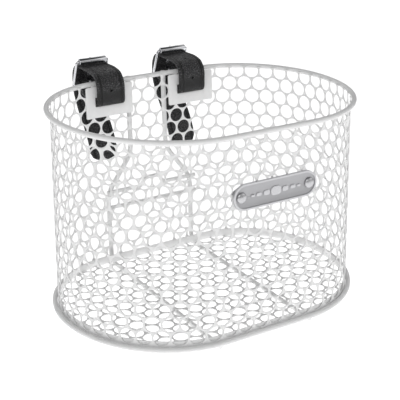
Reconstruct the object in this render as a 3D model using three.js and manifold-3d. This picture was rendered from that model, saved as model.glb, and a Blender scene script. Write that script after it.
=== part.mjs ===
// A bicycle handlebar basket: an oval bin of perforated sheet steel on a welded wire frame, with two
// bracket plates on its back wall and two leather straps with roller buckles that hold it to the bar.
// Millimetres, +Z up, front of the basket at -Y, handlebar side at +Y.
import * as THREE from "three";
import { mergeVertices } from "three/addons/utils/BufferGeometryUtils.js";
import Module from "manifold-3d";

const wasm = await Module();
wasm.setup();

// Clearances and stock
const GAP = 0.3; // left between pieces that touch
const WIRE_R = 2.8; // rim, hoop and support wires
const CROSS_WIRE_R = 2.4;
const SHEET = 1.0; // perforated sheet
const PLATE = 1.5; // bracket plates

// Oval plan of the rim wire's centreline
const HALF_WIDTH = 163;
const FRONT_DEPTH = 133.7; // widest line to the front
const BACK_DEPTH = 117.4; // widest line to the back
const FRONT_STRAIGHT = 47.5; // half length of the straight stretches
const BACK_STRAIGHT = 65.4;
const BACK_Y = (FRONT_DEPTH + BACK_DEPTH) / 2;
const FRONT_Y = -BACK_Y;
const OVAL_STEPS = 80;

// Heights: the runners lie under the hoop, and towards its base the bin grows wider and less deep
const RUNNER_Z = WIRE_R;
const HOOP_Z = RUNNER_Z + 2 * WIRE_R + GAP;
const RIM_Z = HOOP_Z + 214.4;
const FLARE_X = 0.037;
const FLARE_Y = -0.029;
const WALL_BOTTOM = HOOP_Z - WIRE_R;
const TRAY_LIP = 10;

// Support wires, mirrored left and right
const SUPPORT_TOP_X = 23;
const SUPPORT_LOW_X = 55.4;
const JOG_TOP_Z = 133;
const JOG_LOW_Z = 89;
const RUNNER_FRONT_Y = -118;
const JOG_BEND = 12; // how far from its corner a bend begins
const RUNNER_BEND = 6.4;

// Cross wires behind the back wall
const CROSS_HALF = 59;
const CROSS_LOW_Z = 73;
const CROSS_HIGH_Z = 92;
const ARCH_HALF = 14;
const ARCH_RISE = 9.5;

// Bracket plates and the slots that the straps pass through
const PLATE_IN_X = 23.5;
const PLATE_OUT_X = 82;
const PLATE_LOW_Z = 185.3;
const PLATE_TOP_Z = RIM_Z - 2;
const SLOT_LOW_Z = 197.8;
const SLOT_TOP_Z = 208.6;
const SLOT_WIDTH = 35;

// Straps, as offsets behind the rim's centreline
const STRAP_X = 52.5;
const STRAP_WIDTH = 32;
const LEATHER = 3;
const TAIL_HINGE = new THREE.Vector2(55, 210.7);
const RIVET_BEHIND = 32;

// Roller buckles
const FRAME_R = 1.9;
const FRAME_CLEAR = 34; // between the side bars
const FRAME_CORNER = 2.1;
const ROLLER_R = 3.75;
const TONGUE_R = 1.4;
const ROLLER_AT = new THREE.Vector2(35, 241.0);
const HEEL_AT = new THREE.Vector2(47.5, 211.8);

// Badge on the front wall
const BADGE_X = 4.9;
const BADGE_Z = 160.3;
const BADGE_LENGTH = 98;
const BADGE_HEIGHT = 27;
const BADGE_THICK = 2.6;
const BADGE_RIM = 2;
const BADGE_RECESS = 0.9;
const BADGE_RIVET_SPACING = 80;
const WASHER = 1.2;
const HOLE_R = 8; // one perforation of the sheet

const WHITE = { color: 0xf1f0ec, roughness: 0.45, metalness: 0 };
const LEATHER_BLACK = { color: 0x232324, roughness: 0.6, metalness: 0 };
const CHROME = { color: 0xd8dadc, roughness: 0.12, metalness: 1 };
const NICKEL = { color: 0xb4b5b6, roughness: 0.35, metalness: 1 };

const group = new THREE.Group();
const assembly = new THREE.Group();
group.add(assembly);

function place(name, geometry, finish) {
  const mesh = new THREE.Mesh(geometry, new THREE.MeshStandardMaterial(finish));
  mesh.name = name;
  assembly.add(mesh);
  return mesh;
}

// ---- Solids ----

function toSolid(geometry) {
  const bare = geometry.clone();
  bare.deleteAttribute("normal");
  bare.deleteAttribute("uv");
  const merged = mergeVertices(bare, 1e-3);
  const vertProperties = new Float32Array(merged.getAttribute("position").array);
  const triVerts = new Uint32Array(merged.index.array);
  return new wasm.Manifold(new wasm.Mesh({ numProp: 3, vertProperties, triVerts }));
}

function toGeometry(solid) {
  const mesh = solid.getMesh();
  const geometry = new THREE.BufferGeometry();
  geometry.setAttribute("position", new THREE.BufferAttribute(mesh.vertProperties, 3));
  geometry.setIndex(new THREE.BufferAttribute(mesh.triVerts, 1));
  geometry.computeVertexNormals();
  return geometry;
}

function cut(geometry, ...cutters) {
  let solid = toSolid(geometry);
  for (const cutter of cutters) solid = solid.subtract(toSolid(cutter));
  return toGeometry(solid);
}

function join(geometry, ...others) {
  let solid = toSolid(geometry);
  for (const other of others) solid = solid.add(toSolid(other));
  return toGeometry(solid);
}

function overlap(a, b) {
  return toGeometry(toSolid(a).intersect(toSolid(b)));
}

// A box from its low and high corners.
function block(low, high) {
  const [sx, sy, sz] = high.map((value, i) => value - low[i]);
  const [cx, cy, cz] = high.map((value, i) => (value + low[i]) / 2);
  return new THREE.BoxGeometry(sx, sy, sz).translate(cx, cy, cz);
}

// A cylinder along Y with its middle at the given place.
function rodAlongY(radius, length, x, y, z, sides = 20) {
  return new THREE.CylinderGeometry(radius, radius, length, sides).translate(x, y, z);
}

// ---- The oval ----

// Centreline points of the oval with their outward normals.
function ovalOutline() {
  const frontCap = HALF_WIDTH - FRONT_STRAIGHT;
  const backCap = HALF_WIDTH - BACK_STRAIGHT;
  const widestY = BACK_Y - BACK_DEPTH;
  const quarter = Math.PI / 2;
  const path = new THREE.Path();
  path.moveTo(0, BACK_Y);
  path.lineTo(-BACK_STRAIGHT, BACK_Y);
  path.absellipse(-BACK_STRAIGHT, widestY, backCap, BACK_DEPTH, quarter, 2 * quarter);
  path.absellipse(-FRONT_STRAIGHT, widestY, frontCap, FRONT_DEPTH, 2 * quarter, 3 * quarter);
  path.absellipse(FRONT_STRAIGHT, widestY, frontCap, FRONT_DEPTH, 3 * quarter, 4 * quarter);
  path.absellipse(BACK_STRAIGHT, widestY, backCap, BACK_DEPTH, 0, quarter);
  path.lineTo(0, BACK_Y);
  return withNormals(path.getSpacedPoints(OVAL_STEPS).slice(0, -1));
}

function withNormals(points) {
  const normals = points.map((_, i) => {
    const before = points.at(i - 1);
    const after = points[(i + 1) % points.length];
    return new THREE.Vector2(after.y - before.y, before.x - after.x).normalize();
  });
  return { points, normals };
}

const oval = ovalOutline();

function insetOval(inset) {
  return oval.points.map((p, i) => p.clone().addScaledVector(oval.normals[i], -inset));
}

// How much wider and deeper the plan is at height z than at the rim.
function growth(z) {
  const down = (RIM_Z - z) / (RIM_Z - HOOP_Z);
  return { x: 1 + FLARE_X * down, y: 1 + FLARE_Y * down };
}

function flared(geometry, planHeight = (z) => z) {
  const position = geometry.getAttribute("position");
  for (let i = 0; i < position.count; i++) {
    const grown = growth(planHeight(position.getZ(i)));
    position.setX(i, position.getX(i) * grown.x);
    position.setY(i, position.getY(i) * grown.y);
  }
  return geometry;
}

// An oval slab between two heights, or a ring where an inner inset is given.
function ovalSlab(lowZ, highZ, outerInset, innerInset, planHeight) {
  const shape = new THREE.Shape(insetOval(outerInset));
  if (innerInset !== undefined) shape.holes.push(new THREE.Path(insetOval(innerInset)));
  const slab = new THREE.ExtrudeGeometry(shape, { depth: highZ - lowZ, bevelEnabled: false });
  return flared(slab.translate(0, 0, lowZ), planHeight);
}

// A closed wire around a flat outline, in the plane z = 0.
function closedWire({ points, normals }, radius, sides = 8) {
  const count = points.length;
  const geometry = new THREE.TorusGeometry(1, radius, sides, count);
  const position = geometry.getAttribute("position");
  for (let j = 0; j <= sides; j++) {
    const around = (j / sides) * 2 * Math.PI;
    for (let i = 0; i <= count; i++) {
      const p = points[i % count].clone();
      p.addScaledVector(normals[i % count], radius * Math.cos(around));
      position.setXYZ(j * (count + 1) + i, p.x, p.y, radius * Math.sin(around));
    }
  }
  return geometry;
}

// ---- Bent wires ----

// A route given as places with their directions, so that straight stretches take one step each.
class WireRoute extends THREE.Curve {
  constructor() {
    super();
    this.stops = [];
  }

  addCurve(curve, steps) {
    for (let i = this.stops.length ? 1 : 0; i <= steps; i++)
      this.stops.push({ point: curve.getPoint(i / steps), tangent: curve.getTangent(i / steps) });
  }

  get steps() {
    return this.stops.length - 1;
  }

  stopAt(u) {
    return this.stops[Math.round(u * this.steps)];
  }

  getPointAt(u) {
    return this.stopAt(u).point.clone();
  }

  getTangentAt(u) {
    return this.stopAt(u).tangent.clone();
  }
}

// Straight stretches between corners, each corner given with how far back its bend begins.
function bentRoute(start, corners, end, bendSteps = 5) {
  const route = new WireRoute();
  let from = start;
  corners.forEach(({ at, bend }, i) => {
    const next = i + 1 < corners.length ? corners[i + 1].at : end;
    const before = at.clone().add(from.clone().sub(at).setLength(bend));
    const after = at.clone().add(next.clone().sub(at).setLength(bend));
    route.addCurve(new THREE.LineCurve3(from, before), 1);
    route.addCurve(new THREE.QuadraticBezierCurve3(before, at, after), bendSteps);
    from = after;
  });
  route.addCurve(new THREE.LineCurve3(from, end), 1);
  return route;
}

// A wire of eight flats, with flats facing along the axes where it runs along one.
function wireAlong(route, radius) {
  const sides = 8;
  const corner = radius / Math.cos(Math.PI / sides);
  const section = new THREE.Shape();
  for (let i = 0; i < sides; i++) {
    const angle = ((i + 0.5) * 2 * Math.PI) / sides;
    const [x, y] = [corner * Math.cos(angle), corner * Math.sin(angle)];
    if (i === 0) section.moveTo(x, y);
    else section.lineTo(x, y);
  }
  section.closePath();
  const options = { steps: route.steps, extrudePath: route, bevelEnabled: false };
  return new THREE.ExtrudeGeometry(section, options);
}

function supportY(z) {
  return BACK_Y * growth(z).y + 2 * WIRE_R + GAP;
}

function supportWire(side) {
  const at = (x, z) => new THREE.Vector3(side * x, supportY(z), z);
  const corners = [
    { at: at(SUPPORT_TOP_X, JOG_TOP_Z), bend: JOG_BEND },
    { at: at(SUPPORT_LOW_X, JOG_LOW_Z), bend: JOG_BEND },
    { at: at(SUPPORT_LOW_X, RUNNER_Z), bend: RUNNER_BEND },
  ];
  const end = new THREE.Vector3(side * SUPPORT_LOW_X, RUNNER_FRONT_Y, RUNNER_Z);
  return wireAlong(bentRoute(at(SUPPORT_TOP_X, RIM_Z + WIRE_R / 2), corners, end), WIRE_R);
}

// A level wire from one support wire to the other, arched in the middle where a rise is given.
function crossWire(z, rise) {
  const at = (x, up) => new THREE.Vector3(x, BACK_Y * growth(z).y, z + up);
  const bend = rise / 2;
  const corners = [[-ARCH_HALF, 0], [bend - ARCH_HALF, rise], [ARCH_HALF - bend, rise], [ARCH_HALF, 0]];
  const bends = rise ? corners.map(([x, up]) => ({ at: at(x, up), bend })) : [];
  return wireAlong(bentRoute(at(-CROSS_HALF, 0), bends, at(CROSS_HALF, 0)), CROSS_WIRE_R);
}

// ---- Basket ----

function slotCutter(side) {
  const halfSlot = SLOT_WIDTH / 2;
  return block(
    [side * STRAP_X - halfSlot, BACK_Y - 20, SLOT_LOW_Z],
    [side * STRAP_X + halfSlot, BACK_Y + 20, SLOT_TOP_Z],
  );
}

function badgeRivetX(side) {
  return BADGE_X + (side * BADGE_RIVET_SPACING) / 2;
}

function wallSheet() {
  const outer = WIRE_R + GAP;
  const wall = ovalSlab(WALL_BOTTOM, RIM_Z, outer, outer + SHEET);
  const rivetHoles = [-1, 1].map((side) => rodAlongY(HOLE_R, 30, badgeRivetX(side), FRONT_Y, BADGE_Z, 16));
  return cut(wall, slotCutter(-1), slotCutter(1), ...rivetHoles);
}

// The floor and its upright lip, inside the wall.
function basePanel() {
  const outer = WIRE_R + SHEET + 3 * GAP;
  const upright = () => WALL_BOTTOM;
  const floor = ovalSlab(WALL_BOTTOM, WALL_BOTTOM + SHEET, outer, undefined, upright);
  const lip = ovalSlab(WALL_BOTTOM, WALL_BOTTOM + TRAY_LIP, outer, outer + SHEET, upright);
  return join(floor, lip);
}

// A strip of the oval against the back wall, with rounded corners and the strap's slot.
function bracketPlate(side) {
  const outer = WIRE_R + SHEET + 2 * GAP;
  const strip = ovalSlab(PLATE_LOW_Z - 5, PLATE_TOP_Z + 5, outer, outer + PLATE);
  const width = PLATE_OUT_X - PLATE_IN_X;
  const height = PLATE_TOP_Z - PLATE_LOW_Z;
  const face = roundedRectangle(width, height, 4);
  const prism = new THREE.ExtrudeGeometry(face, { depth: 60, bevelEnabled: false });
  prism.rotateX(Math.PI / 2);
  prism.translate((side * (PLATE_IN_X + PLATE_OUT_X)) / 2, BACK_Y + 20, (PLATE_TOP_Z + PLATE_LOW_Z) / 2);
  return cut(overlap(strip, prism), slotCutter(side));
}

function roundedRectangle(width, height, corner) {
  const [x, y] = [width / 2 - corner, height / 2 - corner];
  const quarter = Math.PI / 2;
  const shape = new THREE.Shape();
  shape.absarc(x, y, corner, 0, quarter);
  shape.absarc(-x, y, corner, quarter, 2 * quarter);
  shape.absarc(-x, -y, corner, 2 * quarter, 3 * quarter);
  shape.absarc(x, -y, corner, 3 * quarter, 4 * quarter);
  shape.closePath();
  return new THREE.Shape(shape.getPoints(4).slice(0, -1));
}

// ---- Straps ----

// Turns a flat outline drawn in (behind the rim, height) into a solid across X.
function acrossX(shape, width, middleX) {
  const solid = new THREE.ExtrudeGeometry(shape, { depth: width, bevelEnabled: false });
  solid.translate(0, 0, -width / 2);
  const [x, y, z] = [new THREE.Vector3(1, 0, 0), new THREE.Vector3(0, 1, 0), new THREE.Vector3(0, 0, 1)];
  solid.applyMatrix4(new THREE.Matrix4().makeBasis(y, z, x));
  return solid.translate(middleX, BACK_Y, 0);
}

// A strip of leather that follows a route seen from the side.
function leatherStrip(route, steps, middleX) {
  const middle = new THREE.SplineCurve(route).getSpacedPoints(steps);
  const edge = (sign) =>
    middle.map((p, i) => {
      const before = middle[Math.max(i - 1, 0)];
      const after = middle[Math.min(i + 1, steps)];
      const across = new THREE.Vector2(before.y - after.y, after.x - before.x).setLength(LEATHER / 2);
      return p.clone().addScaledVector(across, sign);
    });
  return acrossX(new THREE.Shape([...edge(-1), ...edge(1).reverse()]), STRAP_WIDTH, middleX);
}

// The strap's end, folded round the heel bar and riveted, then its run under the handlebar, through the
// slot, up inside the plate, over the handlebar, under the roller and down past the heel bar.
function strapLoop(side) {
  const foldR = FRAME_R + GAP + LEATHER / 2;
  const around = (degrees) => {
    const angle = THREE.MathUtils.degToRad(degrees);
    return [HEEL_AT.x + foldR * Math.cos(angle), HEEL_AT.y + foldR * Math.sin(angle)];
  };
  const route = [
    [27, 208], [33, 209.6], [39.5, 212],
    around(115), around(60), around(0), around(-60), around(-105),
    [40, 206.9], [33, 205.7], [27, 204.2], [12, 201.2], [0, 199.9], [-5.4, 200.8], [-9, 204.9],
    [-10.2, 211.2], [-10.4, 217.5], [-9.6, 223.3], [-6.9, 228.3], [-2.3, 232.2], [4.8, 234.1], [14, 235.2],
    [24, 235.1], [35, 235.2], [43, 234.9], [49.3, 231.6], [53.6, 224.8], [TAIL_HINGE.x, 217.5],
    [TAIL_HINGE.x, TAIL_HINGE.y + 1.6],
  ].map(([y, z]) => new THREE.Vector2(y, z));
  const x = side * STRAP_X;
  const strip = leatherStrip(route, 78, x);
  const foldSlot = block([x - 2.5, BACK_Y + 40.5, 203.6], [x + 2.5, BACK_Y + 53, 218]);
  const tongueHole = block([x - 2.4, BACK_Y + 40.2, 230.6], [x + 2.4, BACK_Y + 48.6, 239.4]);
  const rivetHole = rivetUpright(new THREE.CylinderGeometry(1.8, 1.8, 14, 12).rotateX(Math.PI / 2), side);
  return cut(strip, foldSlot, tongueHole, rivetHole);
}

function strapTail(side) {
  const route = [
    [TAIL_HINGE.x, TAIL_HINGE.y - 2.2], [53.3, 201.3], [49, 192.5], [43, 182.5], [36, 173.1],
    [29, 164.2], [23, 154.8], [18, 144.4], [15, 133.4], [13.8, 127.1],
  ].map(([y, z]) => new THREE.Vector2(y, z));
  return leatherStrip(route, 16, side * STRAP_X);
}

// Leans a piece made about the Z axis to stand square to the folded end of the strap.
function rivetUpright(geometry, side) {
  const lean = THREE.MathUtils.degToRad(11);
  return geometry.rotateX(lean).translate(side * STRAP_X, BACK_Y + RIVET_BEHIND, 207.5);
}

// A rivet with a domed head above the fold and a flat one below it.
function strapRivet(side) {
  const grip = LEATHER + 0.35 + GAP + 0.1;
  const profile = [
    [0, -grip - 1], [3.6, -grip - 1], [3.6, -grip], [1.5, -grip], [1.5, grip], [4, grip],
    [3.4, grip + 1], [1.8, grip + 1.7], [0, grip + 1.9],
  ].map(([r, h]) => new THREE.Vector2(r, h));
  return rivetUpright(new THREE.LatheGeometry(profile, 12).rotateX(Math.PI / 2), side);
}

// ---- Buckles ----

const buckleUp = ROLLER_AT.clone().sub(HEEL_AT).normalize();
const buckleOut = new THREE.Vector2(buckleUp.y, -buckleUp.x);

function buckleFrame(side) {
  const across = FRAME_CLEAR + 2 * FRAME_R;
  const along = ROLLER_AT.distanceTo(HEEL_AT);
  const outline = roundedRectangle(across, along, FRAME_CORNER);
  const frame = closedWire(withNormals(outline.getPoints().slice(0, -1)), FRAME_R, 8);
  const middle = ROLLER_AT.clone().lerp(HEEL_AT, 0.5);
  const xAxis = new THREE.Vector3(1, 0, 0);
  const upAxis = new THREE.Vector3(0, buckleUp.x, buckleUp.y);
  frame.applyMatrix4(new THREE.Matrix4().makeBasis(xAxis, upAxis, xAxis.clone().cross(upAxis)));
  return frame.translate(side * STRAP_X, BACK_Y + middle.x, middle.y);
}

// A tube that turns on the buckle's upper bar.
function buckleRoller(side) {
  const half = FRAME_CLEAR / 2 - 0.4;
  const bore = FRAME_R + GAP;
  const profile = [
    [bore, -half], [ROLLER_R - 0.4, -half], [ROLLER_R, -half + 0.4], [ROLLER_R, half - 0.4],
    [ROLLER_R - 0.4, half], [bore, half], [bore, -half],
  ].map(([r, h]) => new THREE.Vector2(r, h));
  const roller = new THREE.LatheGeometry(profile, 16).rotateZ(-Math.PI / 2);
  return roller.translate(side * STRAP_X, BACK_Y + ROLLER_AT.x, ROLLER_AT.y);
}

// A wire curled round the heel bar whose tip rests on the roller.
function buckleTongue(side) {
  const curlR = FRAME_R + GAP + TONGUE_R;
  const turn = THREE.MathUtils.degToRad(260);
  const leave = buckleOut.angle();
  const curl = new THREE.ArcCurve(HEEL_AT.x, HEEL_AT.y, curlR, leave - turn, leave, false);
  const rest = ROLLER_AT.clone().addScaledVector(buckleOut, ROLLER_R + TONGUE_R + GAP);
  const tip = rest.clone().addScaledVector(buckleUp, 0.6);
  const shank = new THREE.LineCurve(curl.getPoint(1), tip);
  const route = new WireRoute();
  route.addCurve(acrossCurve(curl, side), 12);
  route.addCurve(acrossCurve(shank, side), 1);
  return wireAlong(route, TONGUE_R);
}

// A curve drawn in (behind the rim, height), stood in the middle plane of a strap.
function acrossCurve(flat, side) {
  const lift = (p) => new THREE.Vector3(side * STRAP_X, BACK_Y + p.x, p.y);
  const curve = new THREE.Curve();
  curve.getPoint = (t) => lift(flat.getPoint(t));
  curve.getTangent = (t) => lift(flat.getTangent(t)).sub(lift(new THREE.Vector2())).normalize();
  return curve;
}

// ---- Badge ----

function stadium(length, height) {
  const half = (length - height) / 2;
  const shape = new THREE.Shape();
  shape.absarc(half, 0, height / 2, -Math.PI / 2, Math.PI / 2);
  shape.absarc(-half, 0, height / 2, Math.PI / 2, 1.5 * Math.PI);
  shape.closePath();
  return new THREE.Shape(shape.getPoints(12).slice(0, -1));
}

// The wall's outer face at the badge.
const badgeBackY = FRONT_Y * growth(BADGE_Z).y + WIRE_R;

function badgeSlab(length, height, thick, backY) {
  const slab = new THREE.ExtrudeGeometry(stadium(length, height), { depth: thick, bevelEnabled: false });
  return slab.rotateX(Math.PI / 2).translate(BADGE_X, backY, BADGE_Z);
}

function badgePlate() {
  const plate = badgeSlab(BADGE_LENGTH, BADGE_HEIGHT, BADGE_THICK, badgeBackY);
  const recessY = badgeBackY - BADGE_THICK + BADGE_RECESS;
  const border = 2 * BADGE_RIM;
  const recess = badgeSlab(BADGE_LENGTH - border, BADGE_HEIGHT - border, 5, recessY);
  const holes = [-1, 1].map((side) => rodAlongY(2.3, 30, badgeRivetX(side), FRONT_Y, BADGE_Z));
  return cut(plate, recess, ...holes);
}

// The domed head lies in the badge's recess; the shank passes the sheet and its washer.
function badgeRivet(side) {
  const shank = 2;
  const headBack = BADGE_THICK - BADGE_RECESS + GAP;
  const back = -(3 * GAP + SHEET + WASHER + GAP);
  const profile = [
    [0, back - 1], [3.4, back - 1], [3.4, back], [shank, back], [shank, headBack], [5.4, headBack],
    [5.2, headBack + 0.9], [4, headBack + 1.8], [2.1, headBack + 2.4], [0, headBack + 2.6],
  ].map(([r, h]) => new THREE.Vector2(r, h));
  const rivet = new THREE.LatheGeometry(profile, 16).rotateX(Math.PI);
  return rivet.translate(badgeRivetX(side), badgeBackY, BADGE_Z);
}

// A washer wider than a perforation, behind the sheet.
function badgeWasher(side) {
  const front = 3 * GAP + SHEET;
  const profile = [
    [2.3, front], [9.2, front], [9.2, front + WASHER], [2.3, front + WASHER], [2.3, front],
  ].map(([r, h]) => new THREE.Vector2(r, h));
  return new THREE.LatheGeometry(profile, 16).translate(badgeRivetX(side), badgeBackY, BADGE_Z);
}

// ---- Assembly ----

place("rim_wire", closedWire(oval, WIRE_R).translate(0, 0, RIM_Z), WHITE);
place("base_hoop", flared(closedWire(oval, WIRE_R).translate(0, 0, HOOP_Z)), WHITE);
place("wall_sheet", wallSheet(), WHITE);
place("base_panel", basePanel(), WHITE);
place("cross_wire_lower", crossWire(CROSS_LOW_Z, 0), WHITE);
place("cross_wire_upper", crossWire(CROSS_HIGH_Z, ARCH_RISE), WHITE);

for (const [hand, side] of [["left", -1], ["right", 1]]) {
  place("support_wire_" + hand, supportWire(side), WHITE);
  place("bracket_plate_" + hand, bracketPlate(side), WHITE);
  place("strap_loop_" + hand, strapLoop(side), LEATHER_BLACK);
  place("strap_tail_" + hand, strapTail(side), LEATHER_BLACK);
  place("strap_rivet_" + hand, strapRivet(side), NICKEL);
  place("buckle_frame_" + hand, buckleFrame(side), CHROME);
  place("buckle_roller_" + hand, buckleRoller(side), CHROME);
  place("buckle_tongue_" + hand, buckleTongue(side), CHROME);
  place("badge_rivet_" + hand, badgeRivet(side), NICKEL);
  place("badge_washer_" + hand, badgeWasher(side), NICKEL);
}
place("badge_plate", badgePlate(), NICKEL);

// The origin is the middle of the object's footprint, on the surface that it stands on.
const bounds = new THREE.Box3().setFromObject(assembly);
const centre = bounds.getCenter(new THREE.Vector3());
assembly.position.set(-centre.x, -centre.y, -bounds.min.z);

export default group;
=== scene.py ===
"""Handlebar basket of perforated steel with two leather buckle straps and a riveted badge.

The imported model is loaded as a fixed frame. Each sub-assembly is a class that builds its own
pieces in metres, in the frame's axes: X across, Y towards the handlebar, Z up.
Sizes in the classes are millimetres, and MM turns them into metres.
"""

import logging
import math
from dataclasses import dataclass, field
from enum import Enum
from typing import Callable, Iterable, Sequence

import bpy
from mathutils import Matrix, Quaternion, Vector

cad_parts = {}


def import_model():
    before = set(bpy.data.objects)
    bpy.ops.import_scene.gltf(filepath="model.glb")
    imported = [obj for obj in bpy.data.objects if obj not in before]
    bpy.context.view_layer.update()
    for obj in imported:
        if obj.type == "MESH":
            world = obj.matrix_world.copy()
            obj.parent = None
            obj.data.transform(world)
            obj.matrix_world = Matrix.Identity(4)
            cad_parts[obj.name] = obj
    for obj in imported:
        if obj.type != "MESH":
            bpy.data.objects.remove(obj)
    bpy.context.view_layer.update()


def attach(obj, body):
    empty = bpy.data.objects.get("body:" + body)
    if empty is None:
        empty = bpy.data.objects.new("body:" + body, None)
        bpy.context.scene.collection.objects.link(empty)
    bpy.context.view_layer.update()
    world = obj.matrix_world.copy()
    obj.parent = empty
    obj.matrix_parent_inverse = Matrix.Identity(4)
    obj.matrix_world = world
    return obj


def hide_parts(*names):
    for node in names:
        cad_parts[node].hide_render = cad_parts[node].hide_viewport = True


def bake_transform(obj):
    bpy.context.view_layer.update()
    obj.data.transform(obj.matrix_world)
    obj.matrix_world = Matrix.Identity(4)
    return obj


log = logging.getLogger("basket")

MM = 0.001
PLAN_SHIFT = -26.85  # mm from the oval's own middle line to the frame's Y axis

Flat = tuple[float, float]


class Side(Enum):
    """Which of the two straps a piece belongs to."""

    LEFT = -1
    RIGHT = 1

    @property
    def hand(self) -> str:
        """The side's word in node and piece names."""
        return self.name.lower()


# ---- Small helpers ----


def linear(hex_colour: str) -> tuple[float, float, float, float]:
    """Turns an sRGB hex colour into linear RGBA.

    Args:
        hex_colour: Six hex digits after a hash sign.

    Returns:
        Linear red, green, blue and an alpha of 1.
    """
    parts = [int(hex_colour[i : i + 2], 16) / 255 for i in (1, 3, 5)]
    turned = [c / 12.92 if c <= 0.04045 else ((c + 0.055) / 1.055) ** 2.4 for c in parts]
    return (*turned, 1.0)


def add_node(tree: bpy.types.NodeTree, kind: str, settings: dict | None = None, **links: object) -> bpy.types.Node:
    """Adds one shader node with its settings and inputs.

    Args:
        tree: The node tree that gets the node.
        kind: The node's type name.
        settings: Properties of the node itself.
        **links: Inputs by name, with _ for a space, or by in0, in1 for a place. A value is a
            constant or another node's output socket.

    Returns:
        The new node.
    """
    node = tree.nodes.new(kind)
    for key, value in (settings or {}).items():
        setattr(node, key, value)
    for key, value in links.items():
        place = int(key[2:]) if key[:2] == "in" and key[2:].isdigit() else key.replace("_", " ")
        socket = node.inputs[place]
        if isinstance(value, bpy.types.NodeSocket):
            tree.links.new(value, socket)
        else:
            socket.default_value = value
    return node


def deselect() -> None:
    """Leaves edit mode and selects nothing."""
    if bpy.context.mode != "OBJECT":
        bpy.ops.object.mode_set(mode="OBJECT")
    bpy.ops.object.select_all(action="DESELECT")


def only(piece: bpy.types.Object) -> None:
    """Selects one object alone and makes it active."""
    deselect()
    piece.select_set(True)
    bpy.context.view_layer.objects.active = piece


def edit(piece: bpy.types.Object, select: str = "SELECT") -> None:
    """Enters edit mode on one object with everything selected or nothing."""
    only(piece)
    bpy.ops.object.mode_set(mode="EDIT")
    bpy.ops.mesh.select_mode(type="VERT")
    bpy.ops.mesh.select_all(action=select)


def choose(piece: bpy.types.Object, what: str, test: Callable[[Vector], bool]) -> int:
    """Selects vertices, edges or faces by their place, and stays in edit mode.

    Args:
        piece: The object in edit mode.
        what: VERT, EDGE or FACE.
        test: Takes the middle of each element and says whether it is chosen.

    Returns:
        How many were chosen.
    """
    bpy.ops.mesh.select_mode(type=what)
    bpy.ops.mesh.select_all(action="DESELECT")
    bpy.ops.object.mode_set(mode="OBJECT")
    mesh = piece.data
    chosen = 0
    if what == "VERT":
        for vertex in mesh.vertices:
            vertex.select = test(vertex.co)
            chosen += vertex.select
    elif what == "EDGE":
        for edge in mesh.edges:
            a, b = (mesh.vertices[i].co for i in edge.vertices)
            edge.select = test((a + b) / 2)
            chosen += edge.select
    else:
        for polygon in mesh.polygons:
            polygon.select = test(polygon.center)
            chosen += polygon.select
    bpy.ops.object.mode_set(mode="EDIT")
    return chosen


def modify(piece: bpy.types.Object, kind: str, **settings: object) -> None:
    """Adds a modifier with its settings and applies it."""
    only(piece)
    modifier = piece.modifiers.new(kind.lower(), kind)
    for key, value in settings.items():
        setattr(modifier, key, value)
    bpy.ops.object.modifier_apply(modifier=modifier.name)


def named(name: str) -> bpy.types.Object:
    """Names the object that an operator has just added, and its mesh."""
    piece = bpy.context.object
    piece.name = name
    piece.data.name = name
    return piece


def smooth(piece: bpy.types.Object, degrees: float = 35) -> None:
    """Shades a piece smooth, with edges sharper than the angle left crisp."""
    only(piece)
    bpy.ops.object.shade_smooth_by_angle(angle=math.radians(degrees))


def face_out(piece: bpy.types.Object, outward: Callable[[Vector], Vector]) -> None:
    """Makes an open sheet's faces agree, and turns them to the outer side.

    Args:
        piece: A sheet without thickness.
        outward: Gives the outward direction at a place.
    """
    edit(piece)
    bpy.ops.mesh.normals_make_consistent(inside=False)
    bpy.ops.object.mode_set(mode="OBJECT")
    agreement = sum(p.normal.dot(outward(p.center)) * p.area for p in piece.data.polygons)
    if agreement < 0:
        edit(piece)
        bpy.ops.mesh.flip_normals()
    deselect()


def cut_window(piece: bpy.types.Object, low: Flat, high: Flat) -> None:
    """Cuts a rectangular window into a sheet that lies flat in X and Y.

    Args:
        piece: The flat sheet.
        low: The window's low corner in metres.
        high: The window's high corner in metres.
    """
    reach = 0.03

    def near(c: Vector) -> bool:
        return low[0] - reach < c.x < high[0] + reach and low[1] - reach < c.y < high[1] + reach

    edit(piece, "DESELECT")
    for place, normal in (
        ((low[0], 0, 0), (1, 0, 0)),
        ((high[0], 0, 0), (1, 0, 0)),
        ((0, low[1], 0), (0, 1, 0)),
        ((0, high[1], 0), (0, 1, 0)),
    ):
        choose(piece, "FACE", near)
        bpy.ops.mesh.bisect(plane_co=place, plane_no=normal)
    if choose(piece, "FACE", lambda c: low[0] < c.x < high[0] and low[1] < c.y < high[1]):
        bpy.ops.mesh.delete(type="FACE")
    deselect()


def wire(name: str, route: Sequence[Vector], radius: float, closed: bool = False) -> bpy.types.Object:
    """Bends a round wire along a route and turns it into a mesh.

    Args:
        name: The piece's name.
        route: Places along the wire's middle in metres.
        radius: The wire's radius in mm.
        closed: Whether the wire meets itself.

    Returns:
        The finished wire, shaded smooth.
    """
    deselect()
    curve = bpy.data.curves.new(name, "CURVE")
    curve.dimensions = "3D"
    curve.bevel_depth = radius * MM
    curve.bevel_resolution = 5
    curve.use_fill_caps = not closed
    spline = curve.splines.new("POLY")
    spline.points.add(len(route) - 1)
    for point, place in zip(spline.points, route):
        point.co = (*place, 1)
    spline.use_cyclic_u = closed
    piece = bpy.data.objects.new(name + ".route", curve)
    bpy.context.scene.collection.objects.link(piece)
    only(piece)
    bpy.ops.object.convert(target="MESH")
    piece = named(name)
    edit(piece)
    bpy.ops.mesh.remove_doubles(threshold=1e-6)
    bpy.ops.mesh.normals_make_consistent(inside=False)
    smooth(piece, 50)
    return piece


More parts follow.
